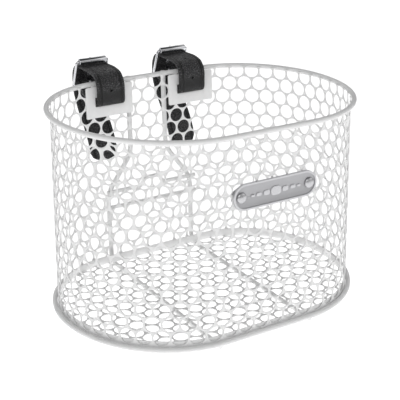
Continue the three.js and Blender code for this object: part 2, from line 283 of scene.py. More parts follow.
def turned(name: str, profile: Sequence[Flat], place: Matrix, steps: int = 48) -> bpy.types.Object:
    """Turns a profile about the Z axis, as on a lathe, and puts it in place.

    Args:
        name: The piece's name.
        profile: Radius and height pairs in mm, from one end to the other.
        place: Carries the turned piece to its place in the frame.
        steps: Faces round the piece.

    Returns:
        The closed, smoothed piece.
    """
    deselect()
    corners = [(r * MM, 0, h * MM) for r, h in profile]
    mesh = bpy.data.meshes.new(name)
    mesh.from_pydata(corners, [(i, i + 1) for i in range(len(corners) - 1)], [])
    piece = bpy.data.objects.new(name, mesh)
    bpy.context.scene.collection.objects.link(piece)
    modify(piece, "SCREW", angle=math.tau, steps=steps, render_steps=steps, axis="Z", use_merge_vertices=False)
    edit(piece)
    bpy.ops.mesh.remove_doubles(threshold=1e-6)
    bpy.ops.mesh.normals_make_consistent(inside=False)
    deselect()
    piece.data.transform(place)
    smooth(piece, 40)
    return piece


def bends(start: Vector, corners: Sequence[tuple[Vector, float]], end: Vector, steps: int = 9) -> list[Vector]:
    """Joins straight stretches with rounded corners.

    Args:
        start: Where the route begins.
        corners: Each corner with how far back its bend begins.
        end: Where the route ends.
        steps: Places on each bend.

    Returns:
        Places along the route.
    """
    route = [start]
    for i, (corner, reach) in enumerate(corners):
        following = corners[i + 1][0] if i + 1 < len(corners) else end
        before = corner + (route[-1] - corner).normalized() * reach
        after = corner + (following - corner).normalized() * reach
        for k in range(steps + 1):
            t = k / steps
            route.append(before * (1 - t) ** 2 + corner * 2 * t * (1 - t) + after * t * t)
    return [*route, end]


def spaced(route: Sequence[Flat], count: int) -> list[Flat]:
    """Draws a smooth line through flat places and spaces points evenly on it.

    Args:
        route: Places that the line passes through.
        count: Number of equal steps.

    Returns:
        One more point than count.
    """
    fine: list[Flat] = []
    last = len(route) - 1
    for i in range(last):
        p0, p1, p2, p3 = (route[min(max(k, 0), last)] for k in (i - 1, i, i + 1, i + 2))
        for k in range(24):
            t = k / 24
            fine.append(
                tuple(
                    0.5 * (2 * b + (c - a) * t + (2 * a - 5 * b + 4 * c - d) * t * t + (3 * b - a - 3 * c + d) * t**3)
                    for a, b, c, d in zip(p0, p1, p2, p3)
                )
            )
    fine.append(route[-1])
    lengths = [0.0]
    for a, b in zip(fine, fine[1:]):
        lengths.append(lengths[-1] + math.dist(a, b))
    points, k = [], 0
    for i in range(count + 1):
        goal = lengths[-1] * i / count
        while k < len(lengths) - 2 and lengths[k + 1] < goal:
            k += 1
        t = (goal - lengths[k]) / max(lengths[k + 1] - lengths[k], 1e-9)
        points.append(tuple(a + (b - a) * t for a, b in zip(fine[k], fine[k + 1])))
    return points


# ---- Finishes ----


@dataclass(frozen=True)
class Finish:
    """What every finish has: its name and the parts of a plain shader."""

    name: str = "finish"

    def start(self) -> tuple[bpy.types.Material, bpy.types.NodeTree, bpy.types.Node, bpy.types.NodeSocket]:
        """Makes an empty material.

        Returns:
            The material, its tree, its shader and the Object coordinates.
        """
        material = bpy.data.materials.new(self.name)
        material.use_nodes = True
        tree = material.node_tree
        tree.nodes.clear()
        shader = add_node(tree, "ShaderNodeBsdfPrincipled")
        add_node(tree, "ShaderNodeOutputMaterial", None, Surface=shader.outputs[0])
        place = add_node(tree, "ShaderNodeTexCoord").outputs["Object"]
        return material, tree, shader, place


@dataclass(frozen=True)
class PowderCoat(Finish):
    """Polyester powder coat, sprayed and baked on steel.

    To the eye it is a satin white skin with a very fine orange peel, and a little greyer where
    the film is thin on the cut edges of the holes.
    """

    name: str = "white_powder_coat"
    colour: str = "#f3f3f3"
    shaded: str = "#ebebeb"
    peel: float = 1.1  # mm from one swell of the film to the next
    roughness: float = 0.38

    def material(self) -> bpy.types.Material:
        """Builds the coat."""
        material, tree, shader, place = self.start()
        cloud = add_node(tree, "ShaderNodeTexNoise", None, Vector=place, Scale=22.0, Detail=3.0)
        tint = add_node(
            tree,
            "ShaderNodeMix",
            {"data_type": "RGBA"},
            in0=cloud.outputs["Fac"],
            in6=linear(self.shaded),
            in7=linear(self.colour),
        )
        peel = add_node(
            tree, "ShaderNodeTexNoise", None, Vector=place, Scale=1 / (self.peel * MM), Detail=2.0, Roughness=0.45
        )
        gloss = add_node(
            tree,
            "ShaderNodeMapRange",
            None,
            Value=cloud.outputs["Fac"],
            To_Min=self.roughness - 0.05,
            To_Max=self.roughness + 0.07,
        )
        bump = add_node(tree, "ShaderNodeBump", None, Strength=0.16, Distance=0.00012, Height=peel.outputs["Fac"])
        tree.links.new(tint.outputs[2], shader.inputs["Base Color"])
        tree.links.new(gloss.outputs[0], shader.inputs["Roughness"])
        tree.links.new(bump.outputs[0], shader.inputs["Normal"])
        shader.inputs["IOR"].default_value = 1.5
        return material


@dataclass(frozen=True)
class StrapLeather(Finish):
    """Black drum-dyed cowhide, embossed with a pebble grain.

    To the eye the pebbles catch grey lights with black furrows between them: the grey is painted sheen on the tops of
    the pebbles and the black is painted shade in the furrows. The part that is pressed flat against the bracket has
    lost its grain and shows no painted sheen, so it is darker, and a creased line runs along each edge, darkened with
    painted shade.
    """

    name: str = "black_leather"
    # Painted sheen for the tops of the pebbles, painted shade for the furrows and the creased line; pressed is the
    # plain leather.
    pebble: str = "#5a5a5c"
    furrow_shade: str = "#070708"
    pressed: str = "#181819"
    grain: float = 2.3  # mm across a pebble; real ones of about 1 mm would be too fine to show
    width: float = 32.0  # mm, the strap's width, for the creases
    crease_in: float = 4.2  # mm from the edge to the creased line
    pressed_low: float = 0.2135  # m, below this the grain is gone
    pressed_high: float = 0.2195

    def material(self) -> bpy.types.Material:
        """Builds the leather."""
        material, tree, shader, place = self.start()
        axes = add_node(tree, "ShaderNodeSeparateXYZ", None, Vector=place)
        # The lower part on the bracket side: pressed flat, so its grain is flattened and the painted sheen stops there,
        # leaving it darker than the lit upper part.
        low = add_node(
            tree,
            "ShaderNodeMapRange",
            None,
            Value=axes.outputs["Z"],
            From_Min=self.pressed_low,
            From_Max=self.pressed_high,
            To_Min=1.0,
            To_Max=0.0,
        )
        inside = add_node(
            tree,
            "ShaderNodeMapRange",
            None,
            Value=axes.outputs["Y"],
            From_Min=0.0935,
            From_Max=0.0985,
            To_Min=1.0,
            To_Max=0.0,
        )
        flat = add_node(
            tree, "ShaderNodeMath", {"operation": "MULTIPLY"}, in0=low.outputs[0], in1=inside.outputs[0]
        ).outputs[0]
        warp = add_node(tree, "ShaderNodeTexNoise", None, Vector=place, Scale=350.0, Detail=1.0)
        bent = add_node(
            tree,
            "ShaderNodeVectorMath",
            {"operation": "MULTIPLY_ADD"},
            in0=warp.outputs["Color"],
            in1=(0.0012, 0.0012, 0.0012),
            in2=place,
        )
        cells = add_node(
            tree,
            "ShaderNodeTexVoronoi",
            {"feature": "DISTANCE_TO_EDGE"},
            Vector=bent.outputs[0],
            Scale=1 / (self.grain * MM),
        )
        swell = add_node(
            tree, "ShaderNodeMapRange", None, Value=cells.outputs["Distance"], From_Min=0.0, From_Max=0.32
        ).outputs[0]
        # Painted sheen on the tops of the pebbles and painted shade in the furrows, mixed by the pebbles' height.
        skin = add_node(
            tree,
            "ShaderNodeMix",
            {"data_type": "RGBA"},
            in0=swell,
            in6=linear(self.furrow_shade),
            in7=linear(self.pebble),
        )
        # Above, the grain with its painted sheen and painted shade; below, plain pressed leather with no painted sheen.
        sheen_grain_and_pressed = add_node(
            tree,
            "ShaderNodeMix",
            {"data_type": "RGBA"},
            in0=flat,
            in6=skin.outputs[2],
            in7=linear(self.pressed),
        )
        # The creased line, measured across the strap on its own UV map; its colour darkens there with painted shade in
        # the groove.
        across = add_node(
            tree, "ShaderNodeSeparateXYZ", None, Vector=add_node(tree, "ShaderNodeTexCoord").outputs["UV"]
        ).outputs["X"]
        half = add_node(
            tree,
            "ShaderNodeMath",
            {"operation": "ABSOLUTE"},
            in0=add_node(tree, "ShaderNodeMath", {"operation": "SUBTRACT"}, in0=across, in1=0.5).outputs[0],
        ).outputs[0]
        off_line = add_node(
            tree,
            "ShaderNodeMath",
            {"operation": "ABSOLUTE"},
            in0=add_node(
                tree,
                "ShaderNodeMath",
                {"operation": "SUBTRACT"},
                in0=half,
                in1=0.5 - self.crease_in / self.width,
            ).outputs[0],
        ).outputs[0]
        crease = add_node(
            tree,
            "ShaderNodeMapRange",
            None,
            Value=off_line,
            From_Min=0.012,
            From_Max=0.05,
            To_Min=1.0,
            To_Max=0.0,
        ).outputs[0]
        # Darkens the creased line towards black as painted shade in its groove.
        colour = add_node(
            tree, "ShaderNodeMix", {"data_type": "RGBA"}, in0=crease, in6=sheen_grain_and_pressed.outputs[2], in7=linear(self.furrow_shade)
        )
        depth = add_node(
            tree,
            "ShaderNodeMath",
            {"operation": "MULTIPLY"},
            in0=swell,
            in1=add_node(
                tree, "ShaderNodeMapRange", None, Value=flat, To_Min=1.0, To_Max=0.12
            ).outputs[0],
        ).outputs[0]
        height = add_node(
            tree,
            "ShaderNodeMath",
            {"operation": "MULTIPLY_ADD"},
            in0=crease,
            in1=-1.6,
            in2=depth,
        ).outputs[0]
        bump = add_node(tree, "ShaderNodeBump", None, Strength=1.0, Distance=0.0008, Height=height)
        gloss = add_node(tree, "ShaderNodeMapRange", None, Value=swell, To_Min=0.62, To_Max=0.4)
        tree.links.new(colour.outputs[2], shader.inputs["Base Color"])
        tree.links.new(gloss.outputs[0], shader.inputs["Roughness"])
        tree.links.new(bump.outputs[0], shader.inputs["Normal"])
        shader.inputs["IOR"].default_value = 1.48
        return material


@dataclass(frozen=True)
class PlatedMetal(Finish):
    """A plated metal, from bright chrome to satin cast nickel.

    To the eye chrome is a mirror with faint wiping marks, and cast nickel is a soft grey metal
    whose fine sandy grain blurs what it mirrors.
    """

    name: str = "chrome_plate"
    colour: str = "#dcdde0"
    dull: str = "#c9cacd"
    roughness: float = 0.09
    grain: float = 0.9  # mm, the marks on the surface
    relief: float = 0.05

    def material(self) -> bpy.types.Material:
        """Builds the plating."""
        material, tree, shader, place = self.start()
        marks = add_node(
            tree, "ShaderNodeTexNoise", None, Vector=place, Scale=1 / (self.grain * MM), Detail=4.0, Roughness=0.6
        )
        tint = add_node(
            tree,
            "ShaderNodeMix",
            {"data_type": "RGBA"},
            in0=marks.outputs["Fac"],
            in6=linear(self.dull),
            in7=linear(self.colour),
        )
        gloss = add_node(
            tree,
            "ShaderNodeMapRange",
            None,
            Value=marks.outputs["Fac"],
            From_Min=0.3,
            From_Max=0.7,
            To_Min=self.roughness * 0.75,
            To_Max=self.roughness * 1.4,
        )
        bump = add_node(
            tree, "ShaderNodeBump", None, Strength=self.relief, Distance=0.0001, Height=marks.outputs["Fac"]
        )
        tree.links.new(tint.outputs[2], shader.inputs["Base Color"])
        tree.links.new(gloss.outputs[0], shader.inputs["Roughness"])
        tree.links.new(bump.outputs[0], shader.inputs["Normal"])
        shader.inputs["Metallic"].default_value = 1.0
        return material


@dataclass(frozen=True)
class StudioPaper(Finish):
    """Seamless white backdrop paper.

    To the eye it is nearly pure white, with only a breath of shade under what stands on it.
    """

    name: str = "studio_paper"
    colour: str = "#fbfbfb"
    fill: float = 0.72  # light that the bright studio throws back from the paper

    def material(self) -> bpy.types.Material:
        """Builds the paper."""
        material, tree, shader, place = self.start()
        fibre = add_node(tree, "ShaderNodeTexNoise", None, Vector=place, Scale=900.0, Detail=2.0)
        bump = add_node(tree, "ShaderNodeBump", None, Strength=0.05, Distance=0.0001, Height=fibre.outputs["Fac"])
        tree.links.new(bump.outputs[0], shader.inputs["Normal"])
        shader.inputs["Base Color"].default_value = linear(self.colour)
        shader.inputs["Roughness"].default_value = 0.95
        shader.inputs["Emission Color"].default_value = (1, 1, 1, 1)
        shader.inputs["Emission Strength"].default_value = self.fill
        return material


@dataclass
class Finishes:
    """The basket's finishes, each made once."""

    coat: bpy.types.Material = field(default_factory=lambda: PowderCoat().material())
    leather: bpy.types.Material = field(default_factory=lambda: StrapLeather().material())
    chrome: bpy.types.Material = field(default_factory=lambda: PlatedMetal().material())
    nickel: bpy.types.Material = field(
        default_factory=lambda: PlatedMetal(
            name="cast_nickel", colour="#d2d2d4", dull="#bcbcbf", roughness=0.3, grain=0.7, relief=0.25
        ).material()
    )
    field_nickel: bpy.types.Material = field(
        default_factory=lambda: PlatedMetal(
            name="sanded_nickel", colour="#c2c2c4", dull="#aaaaad", roughness=0.48, grain=0.9, relief=0.5
        ).material()
    )


def give(
    piece: bpy.types.Object,
    material: bpy.types.Material,
    body: str,
    replaces: Iterable[str] = (),
) -> bpy.types.Object:
    """Dresses a piece and ties it to the frame.

    Args:
        piece: The finished piece.
        material: Its finish, where it has none yet.
        body: The body that it rides on, or nothing for a piece tied to no body.
        replaces: The nodes that it stands for.

    Returns:
        The same piece.
    """
    if not piece.data.materials:
        piece.data.materials.append(material)
    if body:
        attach(piece, body)
    if replaces:
        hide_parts(*replaces)
    log.info("%s: %d faces", piece.name, len(piece.data.polygons))
    return piece


# ---- The oval plan ----


@dataclass
class OvalPlan:
    """The basket's plan: a straight back and front joined by elliptical ends.

    Places are found by how far along the plan they lie, from the middle of the back towards +X.
    """

    half_width: float = 163.0
    back_y: float = 125.55
    front_y: float = -125.55
    back_depth: float = 117.4
    back_straight: float = 65.4
    front_straight: float = 47.5
    rim_z: float = 223.1
    hoop_z: float = 8.7
    flare_x: float = 0.037
    flare_y: float = -0.029
    measured_in: float = 3.6  # lengths are measured this far inside the wire's middle
    points: list[Vector] = field(default_factory=list)
    lengths: list[float] = field(default_factory=list)

    def __post_init__(self) -> None:
        """Draws the plan as many short steps and measures them."""
        widest = self.back_y - self.back_depth
        front_depth = widest - self.front_y
        quarters = (
            (1, self.back_straight, self.back_depth, math.pi / 2, 0.0),
            (1, self.front_straight, front_depth, 0.0, -math.pi / 2),
            (-1, self.front_straight, front_depth, -math.pi / 2, 0.0),
            (-1, self.back_straight, self.back_depth, 0.0, math.pi / 2),
        )
        line = [Vector((self.back_straight * i / 40, self.back_y, 0)) for i in range(40)]
        for sign, straight, deep, first, last in quarters:
            wide = self.half_width - straight
            for i in range(160):
                a = first + (last - first) * i / 160
                line.append(Vector((sign * (straight + wide * math.cos(a)), widest + deep * math.sin(a), 0)))
            if sign == 1 and last < 0:
                line += [Vector((straight * (1 - i / 30), self.front_y, 0)) for i in range(60)]
        line += [Vector((-self.back_straight * (1 - i / 40), self.back_y, 0)) for i in range(40)]
        self.points = line
        inset = [p - self.normal(i) * self.measured_in for i, p in enumerate(line)]
        self.lengths = [0.0]
        for a, b in zip(inset, inset[1:] + inset[:1]):
            self.lengths.append(self.lengths[-1] + (b - a).length)

    @property
    def around(self) -> float:
        """The whole way round, in mm."""
        return self.lengths[-1]

    def normal(self, i: int) -> Vector:
        """The outward direction at one of the plan's points."""
        count = len(self.points)
        along = self.points[(i + 1) % count] - self.points[i - 1]
        return Vector((-along.y, along.x, 0)).normalized()

    def grown(self, flat: Vector, z: float) -> Vector:
        """Puts a place of the plan at a height, in metres in the frame.

        Args:
            flat: The place at the rim, in mm.
            z: Its height in mm, which spreads or narrows the plan.

        Returns:
            The place in the frame.
        """
        down = (self.rim_z - z) / (self.rim_z - self.hoop_z)
        x = flat.x * (1 + self.flare_x * down)
        y = flat.y * (1 + self.flare_y * down)
        return Vector((x, y + PLAN_SHIFT, z)) * MM

    def at(self, along: float, z: float, inset: float, plan_z: float | None = None) -> Vector:
        """Finds a place on the wall.

        Args:
            along: How far round from the middle of the back, in mm.
            z: Height in mm.
            inset: How far inside the wires' middle, in mm.
            plan_z: The height whose flare is used, where it isn't z.

        Returns:
            The place in the frame, in metres.
        """
        goal = along % self.around
        low, high = 0, len(self.points)
        while high - low > 1:
            middle = (low + high) // 2
            if self.lengths[middle] <= goal:
                low = middle
            else:
                high = middle
        t = (goal - self.lengths[low]) / (self.lengths[low + 1] - self.lengths[low])
        after = (low + 1) % len(self.points)
        here = self.points[low].lerp(self.points[after], t)
        out = self.normal(low).lerp(self.normal(after), t).normalized()
        place = self.grown(here - out * inset, z if plan_z is None else plan_z)
        place.z = z * MM
        return place

    def ring(self, z: float, inset: float, steps: int = 320, plan_z: float | None = None) -> list[Vector]:
        """Places all round the plan at one height."""
        return [self.at(self.around * i / steps, z, inset, plan_z) for i in range(steps)]

    def outward(self, place: Vector) -> Vector:
        """Which way is out at a place on the wall."""
        return Vector((place.x, place.y - PLAN_SHIFT * MM, 0)).normalized()


# ---- Perforated bin ----


@dataclass
class PerforatedBin:
    """The wall and floor, cut from perforated steel sheet."""

    plan: OvalPlan
    finishes: Finishes
    columns: int = 53
    rows: int = 14
    hole_radius: float = 8.0
    first_row_z: float = 218.0
    hole_in_back: float = -1.6  # where the second row has a hole, from the middle of the back
    wall_inset: float = 3.1
    sheet: float = 1.0
    bottom_z: float = 5.9
    floor_inset: float = 4.7
    lip: float = 10.0
    slot_half: float = 17.5
    slot_low: float = 197.8
    slot_high: float = 208.6
    strap_x: float = 52.5

    @property
    def pitch(self) -> float:
        """Distance from hole to hole along a row, in mm."""
        return self.plan.around / self.columns

    @property
    def row_pitch(self) -> float:
        """Distance from row to row, in mm."""
        return self.pitch * math.sqrt(3) / 2

    def cell(self, name: str, x: float, y: float) -> bpy.types.Object:
        """Models one hexagon of sheet with its hole, flat in X and Y.

        Args:
            name: Name of the sheet that it starts.
            x: The hole's middle, in mm.
            y: The hole's middle, in mm.

        Returns:
            The cell.
        """
        deselect()
        where = (x * MM, y * MM, 0)
        bpy.ops.mesh.primitive_circle_add(vertices=6, radius=self.pitch / math.sqrt(3) * MM, location=(0, 0, 0))
        piece = named(name)
        edit(piece)
        bpy.ops.mesh.subdivide(number_cuts=2)
        bpy.ops.mesh.primitive_circle_add(vertices=18, radius=self.hole_radius * MM, location=(0, 0, 0))
        bpy.ops.mesh.select_all(action="SELECT")
        bpy.ops.mesh.bridge_edge_loops()
        bpy.ops.mesh.select_all(action="SELECT")
        bpy.ops.transform.translate(value=where)
        deselect()
        return piece

    def field_of_cells(self, name: str, x: float, y: float, columns: int, rows: int) -> bpy.types.Object:
        """Repeats the cell into a flat sheet of staggered rows.

        Args:
            name: The sheet's name.
            x: The first hole's middle, in mm.
            y: The first hole's middle, in mm.
            columns: Holes in a row.
            rows: Rows, an even number, each lower than the last.

        Returns:
            The flat sheet with its doubles merged.
        """
        piece = self.cell(name, x, y)
        edit(piece)
        bpy.ops.mesh.duplicate()
        bpy.ops.transform.translate(value=(-self.pitch / 2 * MM, -self.row_pitch * MM, 0))
        deselect()
        for count, step in ((columns, (self.pitch * MM, 0, 0)), (rows // 2, (0, -2 * self.row_pitch * MM, 0))):
            modify(
                piece,
                "ARRAY",
                count=count,
                use_relative_offset=False,
                use_constant_offset=True,
                constant_offset_displace=step,
            )
        edit(piece)
        bpy.ops.mesh.remove_doubles(threshold=0.0002)
        deselect()
        return piece

    def wall(self) -> bpy.types.Object:
        """Builds the wall: perforated flat, trimmed, wrapped round the plan and given its thickness."""
        start = self.hole_in_back + self.pitch / 2
        piece = self.field_of_cells("Perforated_wall", start, self.first_row_z, self.columns, self.rows)
        rim = self.plan.rim_z * MM
        edit(piece)
        bpy.ops.mesh.bisect(plane_co=(0, rim, 0), plane_no=(0, 1, 0), clear_outer=True)
        last_row = self.first_row_z - (self.rows - 1) * self.row_pitch
        first = start - (self.pitch / 2 if self.rows % 2 == 0 else 0)

        def solid_edge(c: Vector) -> bool:
            """Whether an edge lies on the sheet's lower border, and not on a hole."""
            away = (c.x / MM - first) % self.pitch
            away = min(away, self.pitch - away)
            below = last_row - c.y / MM
            reach = 0.5 * away + math.sqrt(0.75) * below
            return below > 4 and abs(reach - self.pitch / 2) < 0.1

        choose(piece, "EDGE", solid_edge)
        bpy.ops.mesh.extrude_edges_move()
        bpy.ops.transform.resize(value=(1, 0, 1), center_override=(0, self.bottom_z * MM, 0))
        deselect()
        for side in Side:
            middle = self.strap_x if side is Side.RIGHT else self.plan.around - self.strap_x
            cut_window(
                piece,
                ((middle - self.slot_half) * MM, self.slot_low * MM),
                ((middle + self.slot_half) * MM, self.slot_high * MM),
            )
        for vertex in piece.data.vertices:
            vertex.co = self.plan.at(vertex.co.x / MM, vertex.co.y / MM, self.wall_inset)
        edit(piece)
        bpy.ops.mesh.remove_doubles(threshold=0.0002)
        face_out(piece, self.plan.outward)
        modify(piece, "SOLIDIFY", thickness=self.sheet * MM, offset=-1, use_even_offset=False)
        smooth(piece)
        return give(piece, self.finishes.coat, "basket", ["wall_sheet"])

    def floor(self) -> bpy.types.Object:
        """Builds the floor sheet, trimmed to the oval."""
        low = self.bottom_z
        border = self.plan.ring(low, self.floor_inset, 360)
        middle = Vector((0, PLAN_SHIFT * MM, low * MM))
        bearings = sorted((math.atan2(p.y - middle.y, p.x), (p - middle).length) for p in border)

        def reach(bearing: float) -> float:
            """How far the border lies from the middle in a direction."""
            before = max((b for b in bearings if b[0] <= bearing), default=bearings[-1])
            after = min((b for b in bearings if b[0] > bearing), default=bearings[0])
            span = (after[0] - before[0]) % math.tau
            t = ((bearing - before[0]) % math.tau) / span if span else 0
            return before[1] + (after[1] - before[1]) * t

        columns, rows = 22, 18
        top = (rows / 2 - 0.5) * self.row_pitch + PLAN_SHIFT
        piece = self.field_of_cells("Perforated_floor", -columns / 2 * self.pitch + 6, top, columns, rows)
        edit(piece)

        def outside(c: Vector) -> bool:
            """Whether a place lies beyond the border."""
            away = Vector((c.x, c.y - middle.y, 0))
            return away.length > reach(math.atan2(away.y, away.x)) + 0.0085

        choose(piece, "FACE", outside)
        bpy.ops.mesh.delete(type="FACE")
        deselect()
        for vertex in piece.data.vertices:
            away = Vector((vertex.co.x, vertex.co.y - middle.y, 0))
            limit = reach(math.atan2(away.y, away.x))
            if away.length > limit:
                away *= limit / away.length
            vertex.co = (away.x, away.y + middle.y, low * MM)
        edit(piece)
        bpy.ops.mesh.remove_doubles(threshold=0.0003)
        bpy.ops.mesh.dissolve_degenerate(threshold=0.0002)
        deselect()
        upward = sum(p.normal.z * p.area for p in piece.data.polygons) > 0
        edit(piece)
        bpy.ops.mesh.select_mode(type="FACE")
        bpy.ops.object.mode_set(mode="OBJECT")
        for polygon in piece.data.polygons:
            polygon.select = (polygon.normal.z > 0) != upward or polygon.area < 2e-8
        bpy.ops.object.mode_set(mode="EDIT")
        bpy.ops.mesh.delete(type="FACE")
        bpy.ops.mesh.select_all(action="SELECT")
        bpy.ops.mesh.delete_loose()
        if not upward:
            bpy.ops.mesh.select_all(action="SELECT")
            bpy.ops.mesh.flip_normals()
        deselect()
        modify(piece, "SOLIDIFY", thickness=self.sheet * MM, offset=1, use_even_offset=False)
        smooth(piece)
        return give(piece, self.finishes.coat, "basket", ["base_panel"])

    def floor_lip(self) -> bpy.types.Object:
        """Builds the floor's upright lip, bent from the same sheet."""
        steps = 320
        deselect()
        bpy.ops.mesh.primitive_circle_add(vertices=steps, radius=0.1)
        piece = named("Floor_lip")
        for vertex, place in zip(
            piece.data.vertices, self.plan.ring(self.bottom_z, self.floor_inset, steps, self.bottom_z)
        ):
            vertex.co = place
        edit(piece)
        bpy.ops.mesh.extrude_edges_move(TRANSFORM_OT_translate={"value": (0, 0, self.lip * MM)})
        face_out(piece, self.plan.outward)
        modify(piece, "SOLIDIFY", thickness=self.sheet * MM, offset=-1)
        modify(piece, "BEVEL", width=0.25 * MM, segments=2, limit_method="ANGLE")
        smooth(piece)
        return give(piece, self.finishes.coat, "basket")

    def build(self) -> None:
        """Builds the whole bin."""
        self.wall()
        self.floor()
        self.floor_lip()


# ---- Wire frame ----


@dataclass
class WireFrame:
    """The rim, the base hoop and the wires that carry the bin."""

    plan: OvalPlan
    finishes: Finishes
    radius: float = 2.8
    cross_radius: float = 2.4
    support_top_x: float = 23.0
    support_low_x: float = 55.4
    jog_top: float = 133.0
    jog_low: float = 89.0
    jog_bend: float = 12.0
    runner_z: float = 2.8
    runner_front: float = -118.0
    runner_bend: float = 6.4
    cross_half: float = 59.0
    cross_low: float = 73.0
    cross_high: float = 92.0
    arch_half: float = 14.0
    arch_rise: float = 9.5

    def behind(self, x: float, z: float, out: float) -> Vector:
        """A place behind the back wall, in metres."""
        place = self.plan.grown(Vector((0, self.plan.back_y, 0)), z)
        return Vector((x * MM, place.y + out * MM, z * MM))

    def support(self, side: Side) -> bpy.types.Object:
        """Bends one support wire: down the back with a jog, then forwards under the floor."""
        out = 2 * self.radius + 0.3
        x_top, x_low = side.value * self.support_top_x, side.value * self.support_low_x
        foot = self.behind(x_low, self.runner_z, out)
        corners = [
            (self.behind(x_top, self.jog_top, out), self.jog_bend * MM),
            (self.behind(x_low, self.jog_low, out), self.jog_bend * MM),
            (foot, self.runner_bend * MM),
        ]
        end = Vector((x_low * MM, (self.runner_front + PLAN_SHIFT) * MM, self.runner_z * MM))
        route = bends(self.behind(x_top, self.plan.rim_z + 1.4, out), corners, end)
        return wire(f"Support_{side.hand}", route, self.radius)

    def cross(self, name: str, z: float, rise: float) -> bpy.types.Object:
        """Bends one level wire between the supports, arched where a rise is given."""
        reach = rise / 2
        ups = [
            (-self.arch_half, 0.0),
            (reach - self.arch_half, rise),
            (self.arch_half - reach, rise),
            (self.arch_half, 0.0),
        ]
        level = self.behind(0, z, 0)

        def at(x: float, up: float) -> Vector:
            return level + Vector((x, 0, up)) * MM

        corners = [(at(x, up), reach * MM) for x, up in ups] if rise else []
        return wire(name, bends(at(-self.cross_half, 0), corners, at(self.cross_half, 0)), self.cross_radius)

    def build(self) -> None:
        """Bends and dresses every wire."""
        coat, slot = self.finishes.coat, "white_powder_coat"
        rim = wire("Rim", self.plan.ring(self.plan.rim_z, 0), self.radius, closed=True)
        hoop = wire("Hoop", self.plan.ring(self.plan.hoop_z, 0), self.radius, closed=True)
        give(rim, coat, "basket", ["rim_wire"])
        give(hoop, coat, "basket", ["base_hoop"])
        for side in Side:
            give(self.support(side), coat, "basket", [f"support_wire_{side.hand}"])
        give(self.cross("Cross_low", self.cross_low, 0), coat, "basket", ["cross_wire_lower"])
        give(self.cross("Cross_high", self.cross_high, self.arch_rise), coat, "basket", ["cross_wire_upper"])


# ---- Bracket plates ----


@dataclass
class BracketPlates:
    """The two plain plates inside the back wall, each with a slot for its strap."""

    plan: OvalPlan
    finishes: Finishes
    near_x: float = 23.5
    far_x: float = 82.0
    low_z: float = 185.3
    top_z: float = 221.1
    inset: float = 4.4
    thickness: float = 1.5
    slot_half: float = 17.5
    slot_low: float = 197.8
    slot_high: float = 208.6
    strap_x: float = 52.5
    corner: float = 1.6

    def plate(self, side: Side) -> bpy.types.Object:
        """Cuts one plate flat, lays it on the wall's curve and gives it its thickness."""
        ends = sorted((side.value * self.near_x, side.value * self.far_x))
        deselect()
        bpy.ops.mesh.primitive_plane_add(
            size=MM, location=((ends[0] + ends[1]) / 2 * MM, (self.low_z + self.top_z) / 2 * MM, 0)
        )
        piece = named(f"Bracket_{side.hand}")
        edit(piece)
        middle = ((ends[0] + ends[1]) / 2 * MM, (self.low_z + self.top_z) / 2 * MM, 0)
        bpy.ops.transform.resize(
            value=(ends[1] - ends[0], self.top_z - self.low_z, 1), center_override=middle
        )
        bpy.ops.mesh.bevel(offset=self.corner * MM, segments=4, affect="VERTICES")
        deselect()
        shift = piece.matrix_world.copy()
        piece.data.transform(shift)
        piece.matrix_world = Matrix.Identity(4)
        x = ends[0] + 3
        while x < ends[1] - 2:
            edit(piece)
            bpy.ops.mesh.bisect(plane_co=(x * MM, 0, 0), plane_no=(1, 0, 0))
            x += 3
        deselect()
        centre = side.value * self.strap_x
        cut_window(
            piece,
            ((centre - self.slot_half) * MM, self.slot_low * MM),
            ((centre + self.slot_half) * MM, self.slot_high * MM),
        )
        for vertex in piece.data.vertices:
            vertex.co = self.plan.at(vertex.co.x / MM, vertex.co.y / MM, self.inset)
        face_out(piece, self.plan.outward)
        modify(piece, "SOLIDIFY", thickness=self.thickness * MM, offset=-1)
        modify(piece, "BEVEL", width=0.3 * MM, segments=2, limit_method="ANGLE", angle_limit=math.radians(50))
        smooth(piece)
        return piece

    def build(self) -> None:
        """Makes both plates."""
        for side in Side:
            give(
                self.plate(side),
                self.finishes.coat,
                "basket",
                [f"bracket_plate_{side.hand}"],
            )


# ---- Straps and buckles ----


